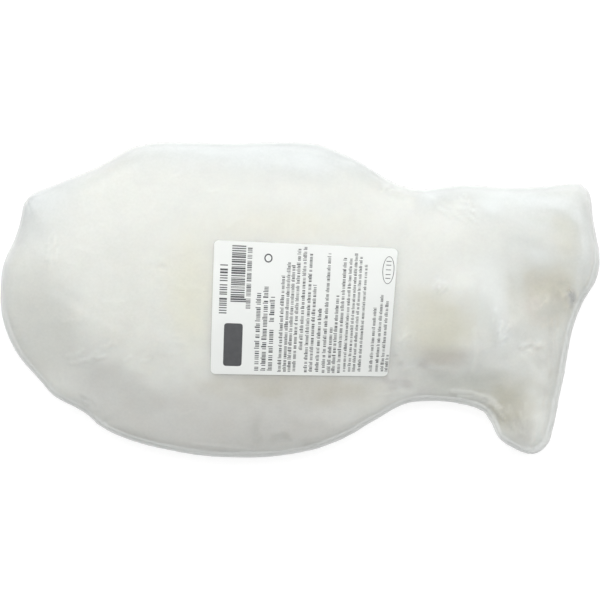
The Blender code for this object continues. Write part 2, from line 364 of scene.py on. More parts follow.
def pleat_fan(plan, corner, inwards, pleats, height, reach):
    """Pleats that spread from a corner of the bag and fade out over its reach."""
    away = plan - np.array(corner, float)
    far = np.linalg.norm(away, axis=1)
    turn = np.arctan2(away[:, 1], away[:, 0]) - math.radians(inwards)
    wave = np.cos(turn * pleats + 0.6 * np.sin(far / 5))
    return height * wave * np.exp(-far / reach) * (1 - np.exp(-far / 3))


def crinkles(plan, centre, spread, direction, length, count, height, draw):
    """Short creases scattered round a place, all about the same way."""
    total = np.zeros(len(plan))
    for _ in range(count):
        middle = np.array([draw.gauss(centre[0], spread[0] / 2), draw.gauss(centre[1], spread[1] / 2)])
        angle = math.radians(draw.gauss(direction, CRINKLE_TURN))
        half = length * draw.uniform(*HALF_LENGTHS)
        step = np.array([half * math.cos(angle), half * math.sin(angle)])
        bend = draw.uniform(-CRINKLE_BEND, CRINKLE_BEND) * half
        line = (middle - step, middle + (bend, -bend), middle + step)
        total += crease(plan, line, height * draw.uniform(*HEIGHT_SHARES), draw.uniform(*WIDTHS))
    return total


def film_marks(points, normals):
    """The heights of the creases and crinkles, which are on the film's upper side only."""
    plan = points[:, :2]
    draw = random.Random(12)
    marks = sum(crease(plan, *mark) for mark in CREASES.values())
    marks = marks + sum(crinkles(plan, *zone, draw) for zone in CRINKLE_ZONES.values())
    return marks * np.clip(normals[:, 2] * 1.5 + 0.6, 0, 1)

# %% Film: the marks put on the skin
# Each swell as (height, size of its lumps, seed)
SWELLS = ((0.22, 19, 4.0), (0.06, 7, 9.0))
RIM_FOLD, RIM_FOLD_SIZE, RIM_FOLD_AT, RIM_FOLD_REACH = 0.35, 6, 8, 6


def film_relief(points, normals, marks):
    """The height of everything on the film, in mm along its surface."""
    height = marks
    for swell, size_mm, seed in SWELLS:
        height = height + swell * wander(points, size_mm, seed)
    height += sum(pleat_fan(points[:, :2], *fan) for fan in PLEAT_FANS.values())
    steep = 1 - np.abs(normals[:, 2])
    upright = wander(points * (1, 1, 0.15), RIM_FOLD_SIZE, 2.5)
    height += RIM_FOLD * steep * upright * np.exp(-((points[:, 2] - RIM_FOLD_AT) / RIM_FOLD_REACH) ** 2)
    underside = np.clip(-normals[:, 2] * 2 - 0.6, 0, 1)
    return height * (1 - underside) - underside * np.abs(height) * 0.5


def keep_on(piece, name, values):
    """Keeps a value from 0 to 1 at each point of a piece, for its material to read."""
    kept = piece.data.attributes.new(name, "FLOAT", "POINT")
    kept.data.foreach_set("value", np.clip(values, 0, 1).astype(np.float32))


FLOOR_GAP = 0.05
# Crease height that turns the film fully white: stress whitening, also serving as painted glints
WHITENING_AND_GLINT_HEIGHT = 3.2
# How cloudy and how grey with painted shade the steep film is, and how much more on the near side
GATHERED_AND_SHADED, MORE_SHADE_NEAR = 0.85, 0.4
skin_points, skin_normals = points_of(film), normals_of(film)
marks = film_marks(skin_points, skin_normals)
film_points = skin_points + skin_normals * film_relief(skin_points, skin_normals, marks)[:, None]
film_points[:, 2] = np.maximum(film_points[:, 2], FLOOR_GAP)
put_points(film, film_points)
shape(film, "SMOOTH", factor=0.3, iterations=1)
film_normals = normals_of(film)
# Steep film is cloudier, and painted grey as shade, most on the near side
keep_on(film, "gathered", (1 - np.abs(film_normals[:, 2])) * (GATHERED_AND_SHADED - MORE_SHADE_NEAR * film_normals[:, 1]))
# Crease tops turn white from stress, which also paints glints on them
keep_on(film, "creased", marks / WHITENING_AND_GLINT_HEIGHT)
report(film)

# %% [markdown]
# The flesh is modelled from the animal's own parts: the mantle, which is the broad oval body, the
# head, and the arms folded round the mouth. They could be sculpted, but simple bodies that are
# fused by a voxel remesh are quicker and keep every size in view. Film and ice hold the flesh in,
# so each part is modelled a little too full and then pressed back inside an inner skin.

# %% Flesh: the inner skins
# The flesh froze nearer to one side of its bag, so the ice is deepest along the far rim
FLESH_GAP = 1.9
MARGIN = 2.2
FIN_MARGIN = 2.0
FAR_MARGIN = 1.5
INNER_CELL = 2.2


def inner_skin(name, gap_top, gap_rim):
    """A search tree of the pack's form moved inwards: most at the far rim, least on top."""
    skin = smooth_skin(name, INNER_CELL, 10)
    points, normals = points_of(skin), normals_of(skin)
    at_rim = gap_rim - gap_top + FAR_MARGIN * np.clip(normals[:, 1], 0, 1)
    gap = gap_top + at_rim * (1 - np.abs(normals[:, 2]))
    put_points(skin, points - normals * gap[:, None])
    shape(skin, "SMOOTH", factor=0.5, iterations=6)
    tree = tree_of(skin)
    bpy.data.objects.remove(skin)
    return tree


def press_inside(piece, skin):
    """Moves each point that is outside a skin to the nearest place on it."""
    points = points_of(piece)
    for number, place in enumerate(points.tolist()):
        nearest, normal, _, _ = skin.find_nearest(place)
        if (Vector(place) - nearest).dot(normal) > 0:
            points[number] = nearest
    return put_points(piece, points)


flesh_skin = inner_skin("flesh_skin", FLESH_GAP, MARGIN)
fin_skin = inner_skin("fin_skin", FLESH_GAP, FIN_MARGIN)

# %% Flesh: two kinds of body
ABOVE = 100.0
UPRIGHT_POWER = 2.4


def plan_size(x, y, squareness):
    """The half width of the rounded square round the origin that a plan point lies on."""
    power = squareness[0] if x < 0 else squareness[1]
    return (abs(x) ** power + abs(y) ** power) ** (1 / power)


def rounded_body(centre, half_sizes, squareness):
    """A body between an ellipsoid and a box. Squareness is given for its left and right halves."""
    body = bmesh.new()
    bmesh.ops.create_uvsphere(body, u_segments=72, v_segments=36, radius=1)
    for point in body.verts:
        plan = plan_size(point.co.x, point.co.y, squareness)
        whole = (plan ** UPRIGHT_POWER + abs(point.co.z) ** UPRIGHT_POWER) ** (1 / UPRIGHT_POWER)
        point.co = [middle + half * c / whole for middle, half, c in zip(centre, half_sizes, point.co)]
    return mesh_of(body, "body")


def height_under(tree, x, y):
    """The height of the surface at a plan point, seen from above."""
    hit = tree.ray_cast((x, y, ABOVE), (0, 0, -1))[0]
    return hit.z if hit else 0.0


def arm(route, thick, thin, depth):
    """A tapered arm along plan points, its top this far below the inner skin."""
    curve = bpy.data.curves.new("arm", "CURVE")
    curve.dimensions = "3D"
    curve.bevel_depth = 1
    curve.use_fill_caps = True
    line = curve.splines.new("NURBS")
    line.points.add(len(route) - 1)
    line.use_endpoint_u = True
    for number, (point, (x, y)) in enumerate(zip(line.points, route)):
        radius = thick + (thin - thick) * number / (len(route) - 1)
        height = max(height_under(flesh_skin, x, y) - depth - radius, radius + FLESH_GAP)
        point.co = (x, y, height, 1)
        point.radius = radius
    holder = bpy.data.objects.new("arm", curve)
    bpy.context.scene.collection.objects.link(holder)
    mesh = bpy.data.meshes.new_from_object(holder.evaluated_get(bpy.context.evaluated_depsgraph_get()))
    bpy.data.objects.remove(holder)
    return mesh

# %% Flesh: mantle, head and arms
BODIES = {
    # name: (centre, half sizes, squareness of the left and right halves)
    "mantle": ((-50, 0, 17), (117, 91, 25), (2.1, 4.5)),
    "mantle_edge": ((56, 6, 17), (12, 74, 21), (2.6, 2.6)),
    "head": ((84, 4, 16), (32, 52, 19), (2.4, 2.4)),
    "arm_base": ((122, 6, 10), (44, 64, 14), (2.6, 2.6)),
    "lobe_base": ((131, -52, 11), (25, 39, 15), (2.4, 2.4)),
}
ARMS = {
    # name: (plan points from its root to its tip, radius at the root, at the tip, depth of its top)
    "rim": (((84, 48), (104, 60), (128, 61), (150, 61), (163, 50), (166, 30), (160, 10), (150, -2)),
            11, 6, 0),
    "ridge": (((90, 50), (106, 44), (110, 26), (111, 6), (113, -10), (126, -22), (147, -27)), 12, 8, 0),
    "shoulder": (((66, 40), (82, 46), (96, 40), (100, 24)), 11, 8, 0.5),
    "upper": (((112, 50), (130, 48), (146, 46), (154, 36)), 8, 5, 0.3),
    "inner": (((110, 42), (124, 37), (138, 34), (150, 30)), 9, 7, 0.4),
    "cheek": (((66, 22), (80, 24), (92, 18), (98, 4)), 10, 8, 0.2),
    "throat": (((66, -34), (84, -40), (101, -44), (116, -62)), 11, 7, 0),
    "jaw": (((66, -8), (80, -12), (92, -22), (98, -36)), 10, 8, 0.8),
    "throat_rim": (((60, -56), (74, -52), (88, -53), (101, -58), (112, -67)), 9, 7, 0),
    "lobe_left": (((100, -26), (114, -42), (122, -60), (128, -78)), 11, 7, 0),
    "lobe_middle": (((116, -24), (131, -40), (139, -58), (138, -74)), 9, 5, 0.4),
    "lobe_right": (((152, -8), (153, -28), (150, -50), (143, -70), (136, -82)), 9, 6, 0),
    "mouth_left": (((120, 26), (127, 18), (129, 4), (135, -6)), 6, 4, 1.0),
    "mouth_top": (((126, 14), (134, 11), (142, 11), (149, 15)), 5, 3.5, 1.2),
    "mouth_right": (((152, 34), (151, 22), (154, 8), (150, -8)), 5.5, 3.5, 1.0),
    "mouth_low": (((124, -10), (134, -13), (145, -12), (152, -6)), 6, 4, 0.8),
}


def fuse(name, meshes, cell_mm, smoothing):
    """One closed piece from overlapping bodies that were made in mm."""
    together = bmesh.new()
    for mesh in meshes:
        together.from_mesh(mesh)
        bpy.data.meshes.remove(mesh)
    bmesh.ops.scale(together, vec=(MM, MM, MM), verts=together.verts)
    return resurface(add_piece(name, mesh_of(together, name)), cell_mm, smoothing)


FLESH_CELL = 1.4
bodies = [rounded_body(*body) for body in BODIES.values()] + [arm(*route) for route in ARMS.values()]
flesh = press_inside(fuse("cuttlefish_flesh", bodies, FLESH_CELL, 4), flesh_skin)
report(flesh)

# %% [markdown]
# A cuttlefish swims with a narrow frilled fin that runs round its mantle. It is thin, so it shows
# only as a paler edge in the ice. It is a strip along the mantle's own outline, with a slow wave.

# %% Flesh: the fin, and all of it fused
FIN_FROM, FIN_TO = 28, 332
FIN_STEPS = 220
FIN_ROOT, FIN_EDGE = 0.78, 1.02
FIN_THICKNESS = 3.4
FIN_CELL = 1.2
FIN_HEIGHT = 14.0
FIN_WAVES = 19
FIN_WAVE_HEIGHT = 2.2
FIBRE_HEIGHT, LUMP_HEIGHT, SMALL_LUMP_HEIGHT, SUNK = 0.10, 0.45, 0.22, 0.4


def mantle_outline(angle, share):
    """A plan point on the mantle's outline, or inside it for a share under 1."""
    centre, half_sizes, squareness = BODIES["mantle"]
    x, y = math.cos(angle), math.sin(angle)
    size = plan_size(x, y, squareness)
    return centre[0] + share * half_sizes[0] * x / size, centre[1] + share * half_sizes[1] * y / size


def add_band(mesh, ring, following):
    """A closed band of four-sided faces between two rings of points."""
    for side in range(len(ring)):
        after = (side + 1) % len(ring)
        mesh.faces.new((ring[side], ring[after], following[after], following[side]))


def fin():
    """A closed strip round the mantle, thin and wavy, in mm."""
    strip = bmesh.new()
    rings = []
    for step in range(FIN_STEPS + 1):
        angle = math.radians(FIN_FROM + (FIN_TO - FIN_FROM) * step / FIN_STEPS)
        wave = FIN_WAVE_HEIGHT * math.sin(FIN_WAVES * angle + 0.8 * math.sin(3 * angle))
        root, edge = mantle_outline(angle, FIN_ROOT), mantle_outline(angle, FIN_EDGE)
        half = FIN_THICKNESS / 2
        corners = ((*root, FIN_HEIGHT + half), (*edge, FIN_HEIGHT + wave + half),
                   (*edge, FIN_HEIGHT + wave - half), (*root, FIN_HEIGHT - half))
        rings.append([strip.verts.new(corner) for corner in corners])
    for ring, following in zip(rings[:-1], rings[1:]):
        add_band(strip, ring, following)
    strip.faces.new(rings[0][::-1])
    strip.faces.new(rings[-1])
    bmesh.ops.recalc_face_normals(strip, faces=strip.faces)
    return mesh_of(strip, "fin")


def in_mm(piece):
    """A piece's mesh as one made in mm, with the piece itself removed."""
    mesh = piece.data.copy()
    mesh.transform(Matrix.Scale(1 / MM, 4))
    bpy.data.objects.remove(piece)
    return mesh


edge_of_fin = press_inside(fuse("fin", [fin()], FIN_CELL, 1), fin_skin)
flesh = fuse("cuttlefish_flesh", [in_mm(flesh), in_mm(edge_of_fin)], FLESH_CELL, 3)

points, normals = points_of(flesh), normals_of(flesh)
fibres = FIBRE_HEIGHT * wander(points * (0.35, 1, 1), 2.6, 1.0)
soft_lumps = LUMP_HEIGHT * wander(points, 13, 6.0) + SMALL_LUMP_HEIGHT * wander(points, 5.5, 8.0)
put_points(flesh, points + normals * np.minimum(fibres + soft_lumps - SUNK, 0)[:, None])
report(flesh)

# %% [markdown]
# Suckers stand in rows along the arms, each a short cup with a thick rim. They show only round the
# mouth, as a grainy pink texture. They could be a bump in the skin, but real ones are solid flesh.
# So at each place a profile is turned round into a cup, facing the way the flesh faces.

# %% Suckers
SUCKER_PROFILE = ((0.0, 0.15), (0.45, 0.2), (0.72, 0.5), (0.9, 0.55), (1.0, 0.3), (1.05, -0.4), (0.0, -0.4))
SUCKER_SIDES = 14
SUCKER_STRAY = 0.5
SUCKER_SIZES = (0.75, 1.15)
SUCKER_ROWS = {
    # arm: (from and to along its route, side rows in mm from its middle line, spacing, size)
    "mouth_left": (0.45, 1.0, (-1.8, 1.8), 3.0, 1.25),
    "mouth_top": (0.1, 0.9, (-1.6, 1.6), 2.8, 1.15),
    "mouth_low": (0.2, 0.8, (-1.8, 1.8), 3.0, 1.2),
}


def places_along(route, start, end, aside, spacing):
    """Plan points at even steps along a route, to one side of it."""
    corners = [Vector((*corner, 0)) for corner in route]
    lengths = [(b - a).length for a, b in zip(corners[:-1], corners[1:])]
    total = sum(lengths)
    place = total * start
    while place < total * end:
        rest, number = place, 0
        while rest > lengths[number] and number < len(lengths) - 1:
            rest -= lengths[number]
            number += 1
        forward = (corners[number + 1] - corners[number]).normalized()
        sideways = Vector((forward.y, -forward.x, 0))
        yield corners[number] + forward * rest + sideways * aside
        place += spacing


def add_cup(mesh, middle, facing, size):
    """Turns the sucker's profile round its axis at a place on the flesh."""
    upright = facing.to_track_quat("Z", "Y")
    rings = []
    for radius, height in SUCKER_PROFILE:
        count = SUCKER_SIDES if radius else 1
        turns = [math.tau * side / count for side in range(count)]
        ring = [Vector((radius * math.cos(turn), radius * math.sin(turn), height)) * size for turn in turns]
        rings.append([mesh.verts.new((middle + upright @ place) * MM) for place in ring])
    for inner, outer in zip(rings[:-1], rings[1:]):
        for side in range(SUCKER_SIDES):
            after = (side + 1) % SUCKER_SIDES
            if len(inner) == 1:
                mesh.faces.new((inner[0], outer[side], outer[after]))
            elif len(outer) == 1:
                mesh.faces.new((inner[side], outer[0], inner[after]))
            else:
                mesh.faces.new((inner[side], outer[side], outer[after], inner[after]))


def suckers():
    """All the suckers as one piece."""
    draw = random.Random(5)
    cups = bmesh.new()
    for name, (start, end, rows, spacing, size) in SUCKER_ROWS.items():
        for aside in rows:
            for place in places_along(ARMS[name][0], start, end, aside, spacing):
                x = place.x + draw.uniform(-SUCKER_STRAY, SUCKER_STRAY)
                y = place.y + draw.uniform(-SUCKER_STRAY, SUCKER_STRAY)
                hit, facing, _, _ = flesh_tree.ray_cast((x, y, ABOVE), (0, 0, -1))
                if hit:
                    add_cup(cups, hit, facing, size * draw.uniform(*SUCKER_SIZES))
    return add_piece("suckers", mesh_of(cups, "suckers"))


flesh_tree = tree_of(flesh)
sucker_piece = suckers()
report(sucker_piece)

# %% [markdown]
# The ice is a glaze of water that froze in the pack. It is a few millimetres thick on top and fills
# the corners where the film bridges. It is a shell just under the film, cloudy in itself, and each
# of its points keeps how much ice lies between it and the flesh, so that the material can let the
# flesh show where the glaze is thin and turn milky where it is deep.

# %% Ice
ICE_GAP = 1.0
ICE_CELL = 2.0
DEEP_ICE = 9.0
ICE_WAVE = 0.16

ice = smooth_skin("ice_glaze", ICE_CELL, SKIN_SMOOTHING)
points, normals = points_of(ice), normals_of(ice)
waves = ICE_WAVE * wander(points, 9, 3.0)
put_points(ice, points - normals * (ICE_GAP + waves)[:, None])
depths = [flesh_tree.find_nearest(place)[3] for place in points_of(ice).tolist()]
keep_on(ice, "glaze_depth", np.array(depths) / DEEP_ICE)
report(ice)
print("ice over the flesh, mm:", round(min(depths), 1), "to", round(max(depths), 1))

# %% [markdown]
# Air that the water let go as it froze stays in the glaze as small flat bubbles, thickest along the
# margins. Each is a low blob of a few faces, and all of them are joined in one piece.

# %% Bubbles in the ice
BUBBLES = 620
BUBBLE_SIZES = (0.25, 0.75)
BUBBLE_FLATNESS = 0.45
BUBBLE_DEPTH = 0.75
SHALLOW_SHARE = 0.12
LOWEST_FACING = -0.4


def bubbles():
    """Flat bubbles just under the surface of the ice, more of them where it is deep."""
    draw = random.Random(31)
    surface, facing = points_of(ice), normals_of(ice)
    blobs = bmesh.new()
    made = 0
    while made < BUBBLES:
        number = draw.randrange(len(surface))
        if draw.random() > SHALLOW_SHARE + depths[number] / DEEP_ICE or facing[number][2] < LOWEST_FACING:
            continue
        upright = Vector(facing[number]).to_track_quat("Z", "Y").to_matrix().to_4x4()
        middle = Vector(surface[number] - facing[number] * BUBBLE_DEPTH)
        size = draw.uniform(*BUBBLE_SIZES)
        flat = Matrix.Diagonal((size, size * draw.uniform(0.7, 1), size * BUBBLE_FLATNESS, 1))
        place = Matrix.Scale(MM, 4) @ Matrix.Translation(middle) @ upright @ flat
        bmesh.ops.create_icosphere(blobs, subdivisions=1, radius=1, matrix=place)
        made += 1
    return add_piece("ice_bubbles", mesh_of(blobs, "ice_bubbles"))


bubble_piece = bubbles()
report(bubble_piece)

# %% [markdown]
# The label is coated paper stuck on the film while the pack was cold. Paper is too stiff to follow
# every dent, so it takes the broad curve of the pack and bridges the small ones. Its height is
# found by dropping a ray on the film at each point of a grid, smoothed, and lifted clear.

# %% Label: where its paper lies
LABEL_CORNERS = ((-47.6, 33.3), (54.6, 28.6), (49.2, -42.9), (-49.9, -41.2))
LABEL_ACROSS, LABEL_ALONG = 102.0, 74.0
LABEL_ROUNDING = 2.6
LABEL_CELL = 1.0
PAPER_THICKNESS = 0.12
PAPER_CLEARANCE = 0.06
PAPER_STIFFNESS = 14
LIFT_SPREAD = 4
STUCK_EDGE = 5

film_tree = tree_of(film)


def on_plan(across, along):
    """The plan point of a label point, in mm from the label's left and lower edges."""
    s, t = across / LABEL_ACROSS, along / LABEL_ALONG
    upper_left, upper_right, lower_right, lower_left = (Vector(corner) for corner in LABEL_CORNERS)
    return lower_left.lerp(lower_right, s).lerp(upper_left.lerp(upper_right, s), t)


def loose(count):
    """0 at both ends of a row of so many cells, where the paper is stuck down, and 1 further in."""
    places = np.arange(count)
    return np.clip(np.minimum(places, count - 1 - places) / STUCK_EDGE, 0, 1)


def averaged(grid, **edges):
    """The mean of the four neighbours of each value in a grid."""
    wide = np.pad(grid, 1, **edges)
    return (wide[:-2, 1:-1] + wide[2:, 1:-1] + wide[1:-1, :-2] + wide[1:-1, 2:]) / 4


def paper_heights():
    """Heights of the paper's underside on an even grid over the label."""
    rows, columns = round(LABEL_ALONG / LABEL_CELL) + 1, round(LABEL_ACROSS / LABEL_CELL) + 1
    under = np.zeros((rows, columns))
    for row in range(rows):
        for column in range(columns):
            x, y = on_plan(LABEL_ACROSS * column / (columns - 1), LABEL_ALONG * row / (rows - 1))
            under[row, column] = height_under(film_tree, x, y)
    paper = under.copy()
    for _ in range(PAPER_STIFFNESS):
        paper = averaged(paper, mode="reflect", reflect_type="odd")
    inset = np.minimum.outer(loose(rows), loose(columns))
    paper = under + (paper - under) * inset
    lift = np.maximum(under - paper, 0)
    for _ in range(LIFT_SPREAD):
        lift = np.maximum(averaged(lift, mode="edge"), under - paper)
    return paper + lift + PAPER_CLEARANCE


heights = paper_heights()

# %% Label: the paper
def on_label(across, along, raised):
    """The place in metres of a label point that is raised above the paper's underside, in mm."""
    rows, columns = heights.shape
    column = min(max(across / LABEL_ACROSS, 0), 1) * (columns - 1)
    row = min(max(along / LABEL_ALONG, 0), 1) * (rows - 1)
    c, r = min(int(column), columns - 2), min(int(row), rows - 2)
    u, v = column - c, row - r
    low = heights[r, c] * (1 - u) + heights[r, c + 1] * u
    high = heights[r + 1, c] * (1 - u) + heights[r + 1, c + 1] * u
    return [c * MM for c in (*on_plan(across, along), low * (1 - v) + high * v + raised)]


def add_patch(mesh, start, size, rounding, cell, raised):
    """A patch of even faces on the label, with rounded corners. Start and size are across and along."""
    counts = [max(1, math.ceil(side / cell)) for side in size]
    grid = []
    for row in range(counts[1] + 1):
        line = []
        for column in range(counts[0] + 1):
            place = [size[0] * column / counts[0], size[1] * row / counts[1]]
            centre = [min(max(c, rounding), side - rounding) for c, side in zip(place, size)]
            away = math.dist(place, centre)
            if away > rounding:
                place = [m + (c - m) * rounding / away for c, m in zip(place, centre)]
            line.append(mesh.verts.new(on_label(start[0] + place[0], start[1] + place[1], raised)))
        grid.append(line)
    for lower, upper in zip(grid[:-1], grid[1:]):
        for left in range(counts[0]):
            mesh.faces.new((lower[left], lower[left + 1], upper[left + 1], upper[left]))


def thin_piece(name, shapes, thickness):
    """A piece of even thickness from flat shapes on the label. Its upper side is where they are."""
    piece = shape(add_piece(name, mesh_of(shapes, name)), "SOLIDIFY", thickness=thickness * MM, offset=-1)
    piece.data.set_sharp_from_angle(angle=math.radians(40))
    return piece


sheet = bmesh.new()
add_patch(sheet, (0, 0), (LABEL_ACROSS, LABEL_ALONG), LABEL_ROUNDING, LABEL_CELL, PAPER_THICKNESS)
paper = thin_piece("label_paper", sheet, PAPER_THICKNESS)
report(paper)

# %% [markdown]
# A thermal printer burns rows of print and a bar code into such a label. Here each row is a line of
# plain upright dashes, with a plain dark field, two plain rings and bars of random widths. Each
# shape is a flat sliver that lies on the paper and follows its curve, so it stays sharp close up.
# One flat picture over the whole label would be quicker to make, but it would blur.

# %% Label: what is printed where
INK_RAISED = 0.03
INK_THICKNESS = 0.02
INK_CELL = 2.5
BARS_ACROSS, BARS_ALONG = (10.1, 17.9), (40.3, 71.3)
BAR_UNIT = 0.33
DARK_FIELD = ((7.0, 4.6), (10.6, 23.8))
DARK_FIELD_ROUNDING = 1.6
TEXT_BLOCKS = {
    # name: (letter height, share of it in low letters, stroke,
    #        lines as (across at its middle, start along, end along))
    "heading": (4.3, 1.0, 0.62, ((5.95, 33.7, 61.3),)),
    "beside the bars": (2.6, 1.0, 0.38, ((20.1, 36.8, 70.7),)),
    "large rows": (2.9, 0.8, 0.46, (
        (25.8, 2.3, 46.4), (29.8, 2.4, 50.1), (33.6, 2.5, 25.3), (33.6, 29.9, 44.7))),
    "first block": (2.1, 0.75, 0.36, (
        (39.1, 1.9, 56.0), (42.0, 1.9, 64.6), (44.6, 1.9, 61.9), (47.4, 2.3, 71.6),
        (50.7, 14.4, 73.0), (54.0, 1.8, 69.0), (57.0, 2.2, 51.8), (60.6, 2.2, 38.1))),
    "second block": (2.1, 0.75, 0.35, (
        (64.2, 1.6, 70.2), (67.4, 1.6, 27.6), (70.0, 1.6, 46.2), (73.0, 1.7, 67.7))),
    "third block": (1.8, 0.75, 0.29, (
        (76.3, 2.5, 67.9), (79.2, 2.6, 70.5), (81.9, 2.6, 68.9), (85.0, 2.7, 64.0))),
    "last block": (1.9, 0.75, 0.30, (
        (91.6, 2.8, 40.2), (95.0, 2.8, 47.1), (98.2, 2.9, 44.4), (100.7, 2.9, 12.7))),
}
RINGS = {
    # name: (centre, outer half sizes, band width)
    "round mark": ((30.4, 65.3), (2.3, 2.5), 0.75),
    "oval mark": ((97.6, 61.4), (3.3, 8.0), 0.35),
}
RING_SIDES = 40
OVAL_BARS_AT, OVAL_BARS_FROM, OVAL_BAR = (56.5, 58.7, 61.4, 64.1, 66.3), 96.2, (2.8, 0.4)

# %% Label: the print
# Dashes stand in groups, their widths and gaps in strokes, the gaps between groups in letter heights
GROUP_SIZES, GROUP_GAPS = (2, 9), (0.2, 0.4)
DASH_WIDTHS, DASH_GAPS = (1, 1, 1, 1.7), (0.7, 0.9, 1.3)
BAR_WIDTHS, BAR_GAPS = (1, 2, 2, 3), (1, 1, 2, 2)
GUARD_BARS, GUARD_LENGTH = (0, 1), 0.9


def text_line(mesh, draw, letter, low, stroke, middle, start, end):
    """Upright dashes in groups, from start to end along the label."""
    place, baseline = start, middle + letter / 2
    while place < end:
        for _ in range(draw.randint(*GROUP_SIZES)):
            width = stroke * draw.choice(DASH_WIDTHS)
            tall = letter * draw.choice((low, low, low, 1))
            if place + width < end:
                add_patch(mesh, (baseline - tall, place), (tall, width), 0, INK_CELL, raised_ink)
            place += width + stroke * draw.choice(DASH_GAPS)
        place += letter * draw.uniform(*GROUP_GAPS)


def bar_code(mesh, draw):
    """Bars of random widths. The first two are guard bars, which stand a little longer."""
    place, number = BARS_ALONG[0], 0
    while place < BARS_ALONG[1]:
        width = BAR_UNIT * draw.choice(BAR_WIDTHS)
        longer = GUARD_LENGTH if number in GUARD_BARS else 0
        add_patch(mesh, (BARS_ACROSS[0], place), (BARS_ACROSS[1] - BARS_ACROSS[0] + longer, width),
                  0, INK_CELL, raised_ink)
        place += width + BAR_UNIT * draw.choice(BAR_GAPS)
        number += 1


def add_ring(mesh, centre, half_sizes, band):
    """A flat ring or oval on the label."""
    rims = []
    for inset in (0, band):
        rim = []
        for turn in (math.tau * side / RING_SIDES for side in range(RING_SIDES)):
            across = centre[0] + (half_sizes[0] - inset) * math.cos(turn)
            along = centre[1] + (half_sizes[1] - inset) * math.sin(turn)
            rim.append(mesh.verts.new(on_label(across, along, raised_ink)))
        rims.append(rim)
    add_band(mesh, *rims)


raised_ink = PAPER_THICKNESS + INK_RAISED
draw = random.Random(7)
ink = bmesh.new()
for letter, low, stroke, lines in TEXT_BLOCKS.values():
    for line in lines:
        text_line(ink, draw, letter, low, stroke, *line)
bar_code(ink, draw)
add_patch(ink, *DARK_FIELD, DARK_FIELD_ROUNDING, 1.0, raised_ink)
for ring in RINGS.values():
    add_ring(ink, *ring)
for along in OVAL_BARS_AT:
    add_patch(ink, (OVAL_BARS_FROM, along), OVAL_BAR, 0, INK_CELL, raised_ink)
ink_piece = thin_piece("label_print", ink, INK_THICKNESS)
report(ink_piece)

# %% [markdown]
# The finishes. Film: polyolefin is a clear plastic with an index near 1.5, but under frost it
# turns hazy and its shine spreads. A see-through shader thins its own shine as well, so its index
# is set higher and a clear coat is added. The haze is noise at its real size. Frost grains are too
# fine to show, so they are drawn 1.6 mm wide.
# Round the rim the film is drawn together in many small pleats, which makes it cloudier there. Its
# colour there is also painted greyer, as painted shade, most on the near side. Along a sharp crease
# stretched plastic turns white, and that white on the crease tops also serves as painted glints.
# Both are read from values kept on its points.

# %% Finish: shrink film
def film_material():
    """Clear polyolefin, blown and heat-shrunk, with rime on it."""
    material, tree, place = new_material("polyolefin_shrink_film")
    clouds = add(tree, "TexNoise", {"Vector": place, "Scale": lumps(28), "Detail": 5, "Roughness": 0.6})
    rime = add(tree, "TexNoise", {"Vector": place, "Scale": lumps(1.6), "Detail": 3})
    haze = add(tree, "Math", {0: rime, 1: 0.35, 2: clouds}, operation="MULTIPLY_ADD")
    thin = add(tree, "MapRange", {"Value": haze, "From Min": 0.45, "From Max": 0.9,
                                  "To Min": 0.325, "To Max": 0.37})
    kept_folds_and_shade = add(tree, "Attribute", {}, "Fac", attribute_name="gathered")
    folds_and_shade = add(tree, "MapRange", {"Value": kept_folds_and_shade, "From Min": 0.22, "From Max": 0.7},
                interpolation_type="SMOOTHSTEP")
    thicker = add(tree, "Math", {0: folds_and_shade, 1: 0.5, 2: thin}, operation="MULTIPLY_ADD")
    stressed_and_glinting = add(tree, "Attribute", {}, "Fac", attribute_name="creased")
    alpha = add(tree, "Math", {0: stressed_and_glinting, 1: 0.35, 2: thicker}, operation="MULTIPLY_ADD")
    satin = add(tree, "MapRange", {"Value": haze, "From Min": 0.45, "From Max": 0.9,
                                   "To Min": 0.29, "To Max": 0.46})
    white = add(tree, "Mix", {0: clouds, 6: "E6E9E7", 7: "F0F1EF"}, 2, data_type="RGBA")
    # Painted shade: the film turns grey round the rim, most on the near side
    white = add(tree, "Mix", {0: folds_and_shade, 6: white, 7: "D9DBDA"}, 2, data_type="RGBA")
    # Stress whitening on crease tops, which also serves as painted glints
    white = add(tree, "Mix", {0: stressed_and_glinting, 6: white, 7: "FBFBFA"}, 2, data_type="RGBA")
    grain = add(tree, "Bump", {"Height": rime, "Strength": 0.08, "Distance": 0.12 * MM})
    return finished(material, {"Base Color": white, "Alpha": alpha, "Roughness": satin,
                               "Normal": grain, "IOR": 1.6,
                               "Coat Weight": 0.3, "Coat Roughness": 0.3})

# %% [markdown]
# Ice: pure ice is clear with an index of 1.31. Glaze is full of tiny air, which makes it blue-white
# and milky, the more so the deeper it is. Its crystals are drawn 2.2 mm wide, coarse enough to show.
# Frost settles in patches, and each has a name, a place, a real size and an edge ruffled by noise.

# %% Finish: patches with soft edges
def spot(tree, place, centre, half_sizes, turn):
    """A soft-edged patch: 1 at its centre and 0 outside it, as an output."""
    own = add(tree, "Mapping", {
        "Vector": place, "Location": [c * MM for c in centre], "Rotation": (0, 0, math.radians(turn)),
        "Scale": [c * MM for c in half_sizes]}, vector_type="TEXTURE")
    away = add(tree, "VectorMath", {0: own}, "Value", operation="LENGTH")
    return add(tree, "MapRange", {"Value": away, "From Min": 0.25, "From Max": 1.0,
                                  "To Min": 1.0, "To Max": 0.0}, interpolation_type="SMOOTHSTEP")


def raised_by(tree, place, value, spots):
    """A value that each of some soft-edged patches adds to, as an output."""
    for centre, half_sizes, turn, more in spots.values():
        patch = spot(tree, place, centre, half_sizes, turn)
        value = add(tree, "Math", {0: patch, 1: more, 2: value}, operation="MULTIPLY_ADD")
    return value


